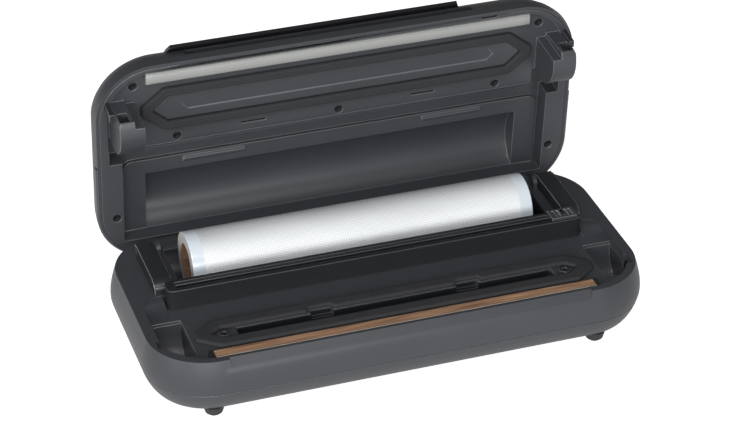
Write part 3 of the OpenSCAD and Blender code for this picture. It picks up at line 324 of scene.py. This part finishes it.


def film_material(roll_y, roll_z, roll_r, half, band):
    """Wound bag film: embossed with small diamonds, plain and clearer in a band at each end.

    Its tone also changes round the roll. A painted highlight makes a lighter band forward of the top and
    leaves the rest darker. Painted shade darkens the diamond cells and fades out under the front. Both are
    in the film's own coordinates, so they turn with the roll.
    """
    mat = Nodes("bag_film")
    x = mat.axis("X")
    turn = mat.math("ARCTAN2", mat.math("SUBTRACT", mat.axis("Y"), roll_y),
                    mat.math("SUBTRACT", mat.axis("Z"), roll_z))
    round_it = mat.math("MULTIPLY", turn, roll_r)
    wave = 2 * math.pi / DIAMOND
    first = mat.math("SINE", mat.math("MULTIPLY", mat.math("ADD", x, round_it), wave))
    second = mat.math("SINE", mat.math("MULTIPLY", mat.math("SUBTRACT", x, round_it), wave))
    cells = mat.math("MULTIPLY", first, second)
    end = mat.remap(mat.math("ABSOLUTE", x), half - band - 0.6, half - band + 0.6, 0.0, 1.0)
    inside = mat.math("SUBTRACT", 1.0, end)
    relief = mat.math("MULTIPLY", mat.remap(cells, -0.35, 0.35, 0.0, 1.0), inside)
    creases = mat.noise(26, 4, (0.25, 1, 1))
    # Painted shade: the diamond cells are darkened as the embossing's shade, fading out under the front of
    # the roll.
    low = mat.remap(turn, -2.75, -1.9, 0.0, 1.0)
    tone = mat.math("ADD", 1.0, mat.math("MULTIPLY", mat.remap(cells, -0.5, 0.5, -0.22, 0.06), low))
    tone = mat.math("MULTIPLY", tone, mat.remap(creases, 0.35, 0.65, 0.9, 1.04))
    # Painted highlight: a lighter band along the roll forward of the top, with darker tone away from it.
    painted_highlight_distance = mat.math("ABSOLUTE", mat.math("ADD", turn, PAINTED_HIGHLIGHT_TURN))
    tone = mat.math("MULTIPLY", tone, mat.remap(painted_highlight_distance, 0.2, 1.1, 1.2, 0.84))
    white = mat.add("VectorMath")
    white.operation = "SCALE"
    mat.feed(white.inputs[0], (0.72, 0.74, 0.75))
    mat.feed(white.inputs["Scale"], tone)
    color = mat.blend(end, white.outputs[0], (0.62, 0.68, 0.73))
    mat.set(Base_Color=color, IOR=1.5, Coat_Weight=0.35, Coat_Roughness=0.12, Subsurface_Weight=0.0)
    mat.set(Roughness=mat.remap(relief, 0.0, 1.0, 0.16, 0.34))
    height = mat.math("ADD", mat.math("MULTIPLY", relief, 0.5), mat.math("MULTIPLY", creases, 1.4))
    mat.bump(height, 0.16)
    return mat.made


def end_material():
    """Ends of the wound film: milky, with a fine grain."""
    mat = Nodes("film_edge")
    fine = mat.noise(900, 4)
    layer = mat.remap(fine, 0.35, 0.65, 0.0, 1.0)
    mat.set(Base_Color=mat.blend(layer, (0.46, 0.44, 0.42), (0.66, 0.65, 0.64)))
    mat.set(Roughness=mat.remap(fine, 0.3, 0.7, 0.35, 0.55))
    mat.bump(fine, 0.05)
    return mat.made


def cardboard_material():
    """Brown board with fibres along the core."""
    mat = Nodes("cardboard")
    fibre = mat.noise(420, 6, (0.2, 1, 1))
    broad = mat.noise(60, 3)
    tone = mat.math("ADD", mat.math("MULTIPLY", fibre, 0.7), mat.math("MULTIPLY", broad, 0.3))
    shade = mat.remap(tone, 0.35, 0.65, 0.0, 1.0)
    mat.set(Base_Color=mat.blend(shade, (0.13, 0.068, 0.038), (0.27, 0.155, 0.09)))
    mat.set(Roughness=mat.remap(fibre, 0.3, 0.7, 0.75, 0.95))
    mat.bump(fibre, 0.1)
    return mat.made


def tape_material(front_y):
    """Copper-brown woven tape with a pale cut edge at the front."""
    mat = Nodes("ptfe_tape")
    along = mat.noise(700, 4, (0.04, 1, 1))
    weave_x = mat.math("SINE", mat.math("MULTIPLY", mat.axis("X"), 2 * math.pi / 0.7))
    weave_y = mat.math("SINE", mat.math("MULTIPLY", mat.axis("Y"), 2 * math.pi / 0.55))
    weave = mat.math("MULTIPLY", weave_x, weave_y)
    tone = mat.math("ADD", mat.math("MULTIPLY", along, 0.8), mat.math("MULTIPLY", weave, 0.06))
    brown = mat.blend(mat.remap(tone, 0.25, 0.55, 0.0, 1.0), (0.19, 0.10, 0.055), (0.50, 0.30, 0.185))
    edge = mat.remap(mat.axis("Y"), front_y + 0.75, front_y + 0.95, 1.0, 0.0)
    mat.set(Base_Color=mat.blend(edge, brown, (0.85, 0.78, 0.68)), IOR=1.4)
    mat.set(Roughness=mat.remap(along, 0.3, 0.7, 0.3, 0.5))
    mat.bump(mat.math("ADD", mat.math("MULTIPLY", weave, 0.5), along), 0.05)
    return mat.made


def foam_material(name, color):
    """Closed-cell foam: a dull skin with fine pores."""
    mat = Nodes(name)
    pores = mat.add("TexVoronoi")
    pores.inputs["Scale"].default_value = 1500
    mat.feed(pores.inputs["Vector"], mat.place)
    broad = mat.noise(70, 3)
    dark = tuple(0.55 * c for c in color)
    tone = mat.math("ADD", mat.math("MULTIPLY", pores.outputs["Distance"], 0.9),
                    mat.math("MULTIPLY", broad, 0.5))
    mat.set(Base_Color=mat.blend(mat.remap(tone, 0.25, 0.85, 0.0, 1.0), dark, color))
    mat.set(Roughness=mat.remap(broad, 0.3, 0.7, 0.78, 0.9), Specular_IOR_Level=0.35)
    mat.bump(mat.math("ADD", pores.outputs["Distance"], mat.math("MULTIPLY", broad, 0.6)), 0.16)
    return mat.made


# Moulded plastics: colour and roughness, then colour and roughness of their bevelled edges, whose lighter
# colour is a painted highlight
MOULDED = {
    "housing_plastic": ((0.042, 0.044, 0.050), 0.38, (0.115, 0.118, 0.125), 0.24),
    "cover_plastic": ((0.042, 0.044, 0.050), 0.42, (0.060, 0.062, 0.068), 0.28),
    "panel_plastic": ((0.044, 0.046, 0.052), 0.36, (0.105, 0.108, 0.115), 0.24),
    "black_plastic": ((0.014, 0.015, 0.017), 0.33, (0.065, 0.067, 0.070), 0.22),
    "dark_trim": ((0.018, 0.019, 0.021), 0.35, (0.10, 0.102, 0.106), 0.22),
    "arm_plastic": ((0.018, 0.019, 0.021), 0.33, (0.17, 0.172, 0.176), 0.20),
    "grip_plastic": ((0.043, 0.045, 0.050), 0.33, (0.22, 0.222, 0.226), 0.22),
    "key_plastic": ((0.070, 0.071, 0.076), 0.30, (0.16, 0.163, 0.17), 0.22),
}
# Edge materials: the plastic made lighter and glossier, so the lighter colour is a painted highlight along
# every bevel.
PAINTED_EDGE_HIGHLIGHTS = {name: surface(name + "_edge", edge, edge_rough, grain=1500, bump=0.01, specular=0.7)
         for name, (color, rough, edge, edge_rough) in MOULDED.items()}
MATERIALS = {name: surface(name, color, rough, grain=1500, bump=0.03)
             for name, (color, rough, edge, edge_rough) in MOULDED.items()}
MATERIALS.update({
    "foot_rubber": surface("foot_rubber", (0.02, 0.02, 0.022), 0.6),
    "screw_steel": surface("screw_steel", (0.55, 0.55, 0.55), 0.3, metallic=1),
    "lid_screw_steel": surface("lid_screw_steel", (0.015, 0.015, 0.016), 0.4),
    "heater_metal": surface("heater_metal", (0.62, 0.6, 0.57), 0.25, metallic=1),
    "ptfe_tape": tape_material(SEAL_Y - SEAL_W / 2),
    "lower_foam": foam_material("lower_foam", (0.03, 0.031, 0.033)),
    "upper_foam": foam_material("upper_foam", (0.027, 0.028, 0.03)),
    "hose_silicone": surface("hose_silicone", (0.7, 0.7, 0.67), 0.4),
    "pump_plastic": surface("pump_plastic", (0.7, 0.7, 0.67), 0.35),
    "motor_steel": surface("motor_steel", (0.5, 0.5, 0.5), 0.3, metallic=1, stretch=(1, 30, 30)),
    "bracket_plastic": surface("bracket_plastic", (0.12, 0.12, 0.125), 0.5),
    "core_steel": surface("core_steel", (0.3, 0.3, 0.31), 0.4, metallic=1, stretch=(1, 1, 60)),
    "coil_copper": surface("coil_copper", (0.5, 0.24, 0.1), 0.35, metallic=1, stretch=(40, 1, 40)),
    "board_green": surface("board_green", (0.02, 0.12, 0.05), 0.4, cloud=120),
    "pin_steel": surface("pin_steel", (0.5, 0.5, 0.51), 0.25, metallic=1, stretch=(1, 20, 20)),
    "bag_film": film_material(ROLL_Y, ROLL_Z, ROLL_R, ROLL_HALF, FILM_BAND),
    "cardboard": cardboard_material(),
    "blade_steel": surface("blade_steel", (0.6, 0.6, 0.6), 0.2, metallic=1),
    "strip_silicone": surface("strip_silicone", (0.27, 0.275, 0.268), 0.32, grain=2500, vary=0.03,
                              bump=0.002),
    "control_gloss": surface("control_gloss", (0.012, 0.012, 0.014), 0.15),
    "window_gloss": surface("window_gloss", (0.008, 0.008, 0.01), 0.08),
})
PRINT = surface("print_white", (0.62, 0.63, 0.64), 0.45, grain=3000, vary=0.03, bump=0.002)
SLOTS = {part["node"]: part["material_slot"] for part in frame["record"]["subparts"]}


# ---------- CAD nodes that keep their shape ----------

# Nodes whose bevels are kept from running into each other
SOFT_CLAMP = (
    "cutter_grip", "vacuum_ports", "cover_screws", "lid_screws", "power_inlet", "feet",
    "base_housing", "lid_shell", "inlet_pins", "pressure_switch", "cutter_pivot_pins",
)


WELD = 0.002           # distance at which points are merged
FLAT_ANGLE = 0.02      # largest angle between faces that are joined into one, in degrees
BEVEL_WIDTH = 0.38
BEVEL_ANGLE = 28.0     # smallest angle of an edge that is bevelled, in degrees


def dress(node):
    """Rounds a CAD node's sharp edges, with its slot's edge material, lighter as a painted highlight, where
    there is one.
    """
    piece = NODES[node]
    weld = piece.modifiers.new("weld", "WELD")
    weld.merge_threshold = WELD * MM
    flat = piece.modifiers.new("flat", "DECIMATE")
    flat.decimate_type = "DISSOLVE"
    flat.angle_limit = math.radians(FLAT_ANGLE)
    bevel = piece.modifiers.new("bevel", "BEVEL")
    bevel.width = BEVEL_WIDTH * MM
    bevel.segments = 2
    bevel.limit_method = "ANGLE"
    bevel.angle_limit = math.radians(BEVEL_ANGLE)
    bevel.use_clamp_overlap = node in SOFT_CLAMP
    bevel.miter_outer = "MITER_ARC"
    if SLOTS[node] in PAINTED_EDGE_HIGHLIGHTS:
        # the bevel faces take the lighter edge material, a painted highlight
        bevel.material = 1
    for face in piece.data.polygons:
        face.use_smooth = True
    smooth = piece.modifiers.new("normals", "WEIGHTED_NORMAL")
    smooth.keep_sharp = True
    smooth.weight = 60


def paint():
    """Gives each CAD node its slot's material, and behind that its edge material, lighter as a painted
    highlight.
    """
    for node, slot in SLOTS.items():
        piece = NODES[node]
        piece.data.materials.clear()
        piece.data.materials.append(MATERIALS[slot])
        if slot in PAINTED_EDGE_HIGHLIGHTS:
            piece.data.materials.append(PAINTED_EDGE_HIGHLIGHTS[slot])


# ---------- own pieces ----------

def own_piece(name, points, faces, slot, body, replaces=None, matrix=None, materials=None, smooth=True):
    """Mesh from points in millimetres, tied to its body and to the CAD node that it stands for."""
    mesh = bpy.data.meshes.new(name)
    mesh.from_pydata([Vector(point) * MM for point in points], [], faces)
    if matrix is not None:
        mesh.transform(matrix)
    mesh.validate()
    work = bmesh.new()
    work.from_mesh(mesh)
    bmesh.ops.recalc_face_normals(work, faces=work.faces)
    work.to_mesh(mesh)
    work.free()
    piece = bpy.data.objects.new(name, mesh)
    bpy.context.scene.collection.objects.link(piece)
    for made in materials or [MATERIALS[slot]]:
        mesh.materials.append(made)
    for face in mesh.polygons:
        face.use_smooth = smooth
    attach(piece, body)
    if replaces:
        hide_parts(replaces)
    return piece


def grid_faces(rows, columns, closed_rows=False, closed_columns=False):
    """Quads over points laid out row by row."""
    faces = []
    for i in range(rows if closed_rows else rows - 1):
        for j in range(columns if closed_columns else columns - 1):
            i2, j2 = (i + 1) % rows, (j + 1) % columns
            faces.append((i * columns + j, i * columns + j2, i2 * columns + j2, i2 * columns + j))
    return faces


def make_film():
    """Roll of bag film: a slightly uneven tube whose wound ends show their layers."""
    around = 144
    end_radii = [CORE_R + (ROLL_R - 0.45 - CORE_R) * i / 12 for i in range(13)]
    profile = [(-ROLL_HALF + (0.25 if i % 2 else 0.0), r) for i, r in enumerate(end_radii)]
    profile += [(-ROLL_HALF + 0.1, ROLL_R - 0.2), (-ROLL_HALF + 0.35, ROLL_R - 0.02)]
    steps = 56
    profile += [(-ROLL_HALF + 0.8 + (2 * ROLL_HALF - 1.6) * i / steps, ROLL_R) for i in range(steps + 1)]
    profile += [(ROLL_HALF - 0.35, ROLL_R - 0.02), (ROLL_HALF - 0.1, ROLL_R - 0.2)]
    profile += [(ROLL_HALF - (0.25 if i % 2 else 0.0), r) for i, r in enumerate(end_radii)][::-1]
    steps = 24
    profile += [(ROLL_HALF - 2 * ROLL_HALF * i / steps, CORE_R) for i in range(1, steps)]
    points = []
    for j in range(around):
        turn = 2 * math.pi * j / around
        lap = 0.28 * max(0.0, 1 - ((turn - 2.3) % (2 * math.pi)) / 0.25)
        for x, r in profile:
            dent = 0.09 * math.sin(3 * turn + x / 31) * math.sin(x / 47 + 1) if r > ROLL_R - 0.3 else 0.0
            far = min(ROLL_R, r + dent - (lap + 0.09 if r > ROLL_R - 0.3 else 0.0))
            points.append((x, ROLL_Y + far * math.sin(turn), ROLL_Z + far * math.cos(turn)))
    faces = grid_faces(around, len(profile), closed_rows=True, closed_columns=True)
    piece = own_piece("film_roll", points, faces, "bag_film", "roll", "bag_film",
                      materials=[MATERIALS["bag_film"], end_material()])
    for face in piece.data.polygons:
        middle = face.center / MM
        if math.hypot(middle[1] - ROLL_Y, middle[2] - ROLL_Z) < ROLL_R - 0.3:
            face.material_index = 1
    edge = piece.modifiers.new("edge", "EDGE_SPLIT")
    edge.split_angle = math.radians(40)


RING_STEPS = 150       # points along each long side of a foam ring


def ring_loop(length, depth, tip, slant, corner):
    """Points round a long hexagon with cut tips and slightly rounded corners, from the left tip on."""
    corners = [Vector(spot) for spot in (
        (-length / 2, tip), (-length / 2, -tip), (-length / 2 + slant, -depth / 2),
        (length / 2 - slant, -depth / 2), (length / 2, -tip), (length / 2, tip),
        (length / 2 - slant, depth / 2), (-length / 2 + slant, depth / 2))]
    loop = []
    for i, here in enumerate(corners):
        before, after, later = corners[i - 1], corners[(i + 1) % 8], corners[(i + 2) % 8]
        trim = min(corner, (here - before).length / 2.2, (after - here).length / 2.2)
        start = here + (before - here).normalized() * trim
        end = here + (after - here).normalized() * trim
        for k in range(5):
            t = k / 4
            loop.append((1 - t) ** 2 * start + 2 * t * (1 - t) * here + t ** 2 * end)
        steps = RING_STEPS if (after - here).length > 2 * depth else 4
        stop = after + (here - after).normalized() * min(corner, (after - here).length / 2.2,
                                                         (later - after).length / 2.2)
        loop += [end.lerp(stop, k / steps) for k in range(1, steps)]
    return loop


def make_gasket(name, node, slot, body, low, high, base_z, band, matrix=None, notch=None):
    """Foam ring with a soft round section.

    low and high are the corners of its box. notch is the low x, high x and depth of its notches.
    """
    length, depth = high[0] - low[0], high[1] - low[1]
    middle = (low[1] + high[1]) / 2
    height = (high[2] if base_z < high[2] - 0.5 else low[2]) - base_z
    outer = ring_loop(length, depth, 4, depth / 2 - 0.5, 2.2)
    inner = ring_loop(length - 2.6 * band, depth - 2 * band, 1, depth / 2 - band + 0.5, 1.0)
    section = [(0.0, 0.0), (0.0, 0.35), (0.02, 0.68), (0.06, 0.88), (0.14, 0.98), (0.24, 1.0)]
    section += [(0.4, 0.985), (0.5, 0.98), (0.6, 0.985)]
    section += [(1 - u, h) for u, h in section[5::-1]]
    points = []
    for out, into in zip(outer, inner):
        into = into.copy()
        if notch and notch[0] < abs(into.x) < notch[1] and into.y > 0:
            into = Vector((out.x, max(into.y, notch[2])))
        for u, h in section:
            spot = out.lerp(into, u)
            points.append((spot.x, middle + spot.y, base_z + height * h))
    faces = grid_faces(len(outer), len(section), closed_rows=True, closed_columns=True)
    piece = own_piece(name, points, faces, slot, body, node, matrix=matrix)


def closed_box(name):
    """Box of a node of the lid as it lies when the lid is shut."""
    back = OPENED.inverted()
    return box_mm([back @ NODES[name].matrix_world @ vertex.co for vertex in NODES[name].data.vertices])


def on_panel(x, u, n):
    """Place on the sloping control panel of the closed lid, from along, up the slope and out of it."""
    tilt = math.radians(PANEL_TILT)
    return (x, PANEL_Y + u * math.cos(tilt) - n * math.sin(tilt),
            PANEL_Z + u * math.sin(tilt) + n * math.cos(tilt))


def make_print(name, body, slot, shapes, n):
    """Flat print on the panel or a key, from convex outlines or from pairs of outer and inner outline."""
    points, faces = [], []
    for shape in shapes:
        loops = shape if isinstance(shape[0], list) else [shape]
        count, first = len(loops[0]), len(points)
        for loop in loops:
            for level in (n - 0.05, n + 0.04):
                points += [on_panel(x, u, level) for x, u in loop]
        lower, upper = [first + j for j in range(count)], [first + count + j for j in range(count)]
        if len(loops) == 1:
            faces += [lower[::-1], upper]
        else:
            low_in = [first + 2 * count + j for j in range(count)]
            up_in = [first + 3 * count + j for j in range(count)]
            for j in range(count):
                k = (j + 1) % count
                faces += [(upper[j], upper[k], up_in[k], up_in[j]),
                          (low_in[j], low_in[k], lower[k], lower[j]),
                          (up_in[j], up_in[k], low_in[k], low_in[j])]
        for j in range(count):
            k = (j + 1) % count
            faces.append((lower[j], lower[k], upper[k], upper[j]))
    own_piece(name, points, faces, slot, body, matrix=OPENED, materials=[PRINT], smooth=False)


def box_2d(x0, u0, x1, u1):
    return [(x0, u0), (x1, u0), (x1, u1), (x0, u1)]


def disc_2d(x, u, r, count=28):
    return [(x + r * math.cos(2 * math.pi * j / count), u + r * math.sin(2 * math.pi * j / count))
            for j in range(count)]


def stroke(x0, u0, x1, u1, wide):
    """Outline of a straight line of some width."""
    side = Vector((u0 - u1, x1 - x0)).normalized() * wide / 2
    return [(x0 + side.x, u0 + side.y), (x0 - side.x, u0 - side.y), (x1 - side.x, u1 - side.y),
            (x1 + side.x, u1 + side.y)]


def make_prints():
    """Plain signs on the four keys, a light beside each, and a row of bars in the window."""
    top = PANEL_T + KEY_PROUD
    x = [KEY_X0 + i * KEY_PITCH for i in range(4)]
    u = KEY_U
    seal = [box_2d(x[0] - 4, u + 1.2, x[0] + 4, u + 2.0), box_2d(x[0] - 4, u - 2.0, x[0] + 4, u - 1.2)]
    seal += [box_2d(x[0] - 3.4 + 1.6 * k, u - 0.5, x[0] - 2.9 + 1.6 * k, u + 0.5) for k in range(5)]
    make_print("print_seal", "key_seal_body", "key_plastic", seal, top)
    spin = [[disc_2d(x[1], u, 3.2), disc_2d(x[1], u, 2.6)], disc_2d(x[1], u, 0.9)]
    spin += [stroke(x[1] + 1.2 * math.cos(a), u + 1.2 * math.sin(a), x[1] + 2.2 * math.cos(a + 0.7),
                    u + 2.2 * math.sin(a + 0.7), 0.5) for a in (0.5, 2.6, 4.7)]
    make_print("print_vacuum", "key_vacuum_body", "key_plastic", spin, top)
    wave = [(-4.5, 0), (-2.2, 0), (-1.2, 2.6), (0.6, -2.6), (1.8, 0), (4.5, 0)]
    pulse = [stroke(x[2] + a[0], u + a[1], x[2] + b[0], u + b[1], 0.6) for a, b in zip(wave, wave[1:])]
    make_print("print_pulse", "key_pulse_body", "key_plastic", pulse, top)
    halt = [[box_2d(x[3] - half, u - half, x[3] + half, u + half) for half in (2.4, 1.8)]]
    make_print("print_stop", "key_stop_body", "key_plastic", halt, top)
    lights = [disc_2d(x[i], u + 9.5, 0.8, 16) for i in range(4)]
    make_print("print_lights", "lid", "control_gloss", lights, PANEL_T)
    bars = [box_2d(WINDOW_X - 15 + 5 * k, u - 2, WINDOW_X - 12 + 5 * k, u + 2) for k in range(6)]
    make_print("print_bars", "lid", "window_gloss", bars, PANEL_T - 0.1)


def make_strip():
    """Silicone bar that presses on the tape: round, with a thin lip along one side and blind hollow ends."""
    low, high = closed_box("pressure_strip")
    y0, y1, z0, z1 = low[1], high[1], low[2], high[2]
    wide, tall = y1 - y0, z1 - z0
    section = [(y0 + 0.05, z1 - 0.05), (y0 + 0.05, z0 + 0.9), (y0 + 0.25, z0 + 0.55),
               (y0 + 0.7, z0 + 0.45), (y0 + 1.0, z0 + 0.75), (y0 + 1.15, z0 + 1.2)]
    steps = 14
    for k in range(steps + 1):
        t = math.pi * (0.06 + 0.88 * k / steps)
        section.append((y0 + 1.2 + (wide - 1.3) * (1 - math.cos(t)) / 2,
                        z0 + 1.7 - 1.65 * math.sin(t) ** 0.8))
    section += [(y1 - 0.05, z0 + 2.2), (y1 - 0.05, z1 - 0.05)]
    count = len(section)
    along = [low[0], low[0] + 0.3]
    along += [low[0] + 0.3 + (high[0] - low[0] - 0.6) * k / 60 for k in range(1, 60)]
    along += [high[0] - 0.3, high[0]]
    centre = ((y0 + y1) / 2, z0 + tall * 0.55)
    points = []
    for i, x in enumerate(along):
        shrink = 0.96 if i in (0, len(along) - 1) else 1.0
        points += [(x, centre[0] + (y - centre[0]) * shrink, centre[1] + (z - centre[1]) * shrink)
                   for y, z in section]
    faces = grid_faces(len(along), count, closed_columns=True)
    # the ends: a wall round a blind hollow
    for first, inward in ((0, 1), (len(along) - 1, -1)):
        x = along[first]
        rim, floor = len(points), len(points) + count
        for depth in (0.0, 5.0 * inward):
            points += [(x + depth, centre[0] + (y - centre[0]) * 0.55, centre[1] + (z - centre[1]) * 0.45)
                       for y, z in section]
        start = first * count
        for j in range(count):
            j2 = (j + 1) % count
            faces.append((start + j, start + j2, rim + j2, rim + j))
            faces.append((rim + j, rim + j2, floor + j2, floor + j))
        faces.append([floor + j for j in range(count)])
    own_piece("press_strip", points, faces, "strip_silicone", "lid", "pressure_strip", matrix=OPENED)


LOWER_BAND, UPPER_BAND = 11, 7.5             # width of each foam ring's band
LOWER_NOTCH = (48.7, 68.3, 10.5)
REPLACED = ("bag_film", "lower_gasket", "upper_gasket", "pressure_strip")

make_camera()
make_world(*WORLD)
make_floor()
for lamp in LAMPS:
    area_light(*lamp)
paint()
make_film()
make_strip()
make_prints()
make_gasket("lower_foam_ring", "lower_gasket", "lower_foam", "base", ring_low, ring_high, ring_low[2],
            LOWER_BAND, notch=LOWER_NOTCH)
upper_low, upper_high = closed_box("upper_gasket")
make_gasket("upper_foam_ring", "upper_gasket", "upper_foam", "lid", upper_low, upper_high, upper_high[2],
            UPPER_BAND, matrix=OPENED)
for name in NODES:
    if name not in REPLACED:
        dress(name)

bpy.context.scene.view_settings.view_transform = "Standard"
bpy.context.view_layer.update()
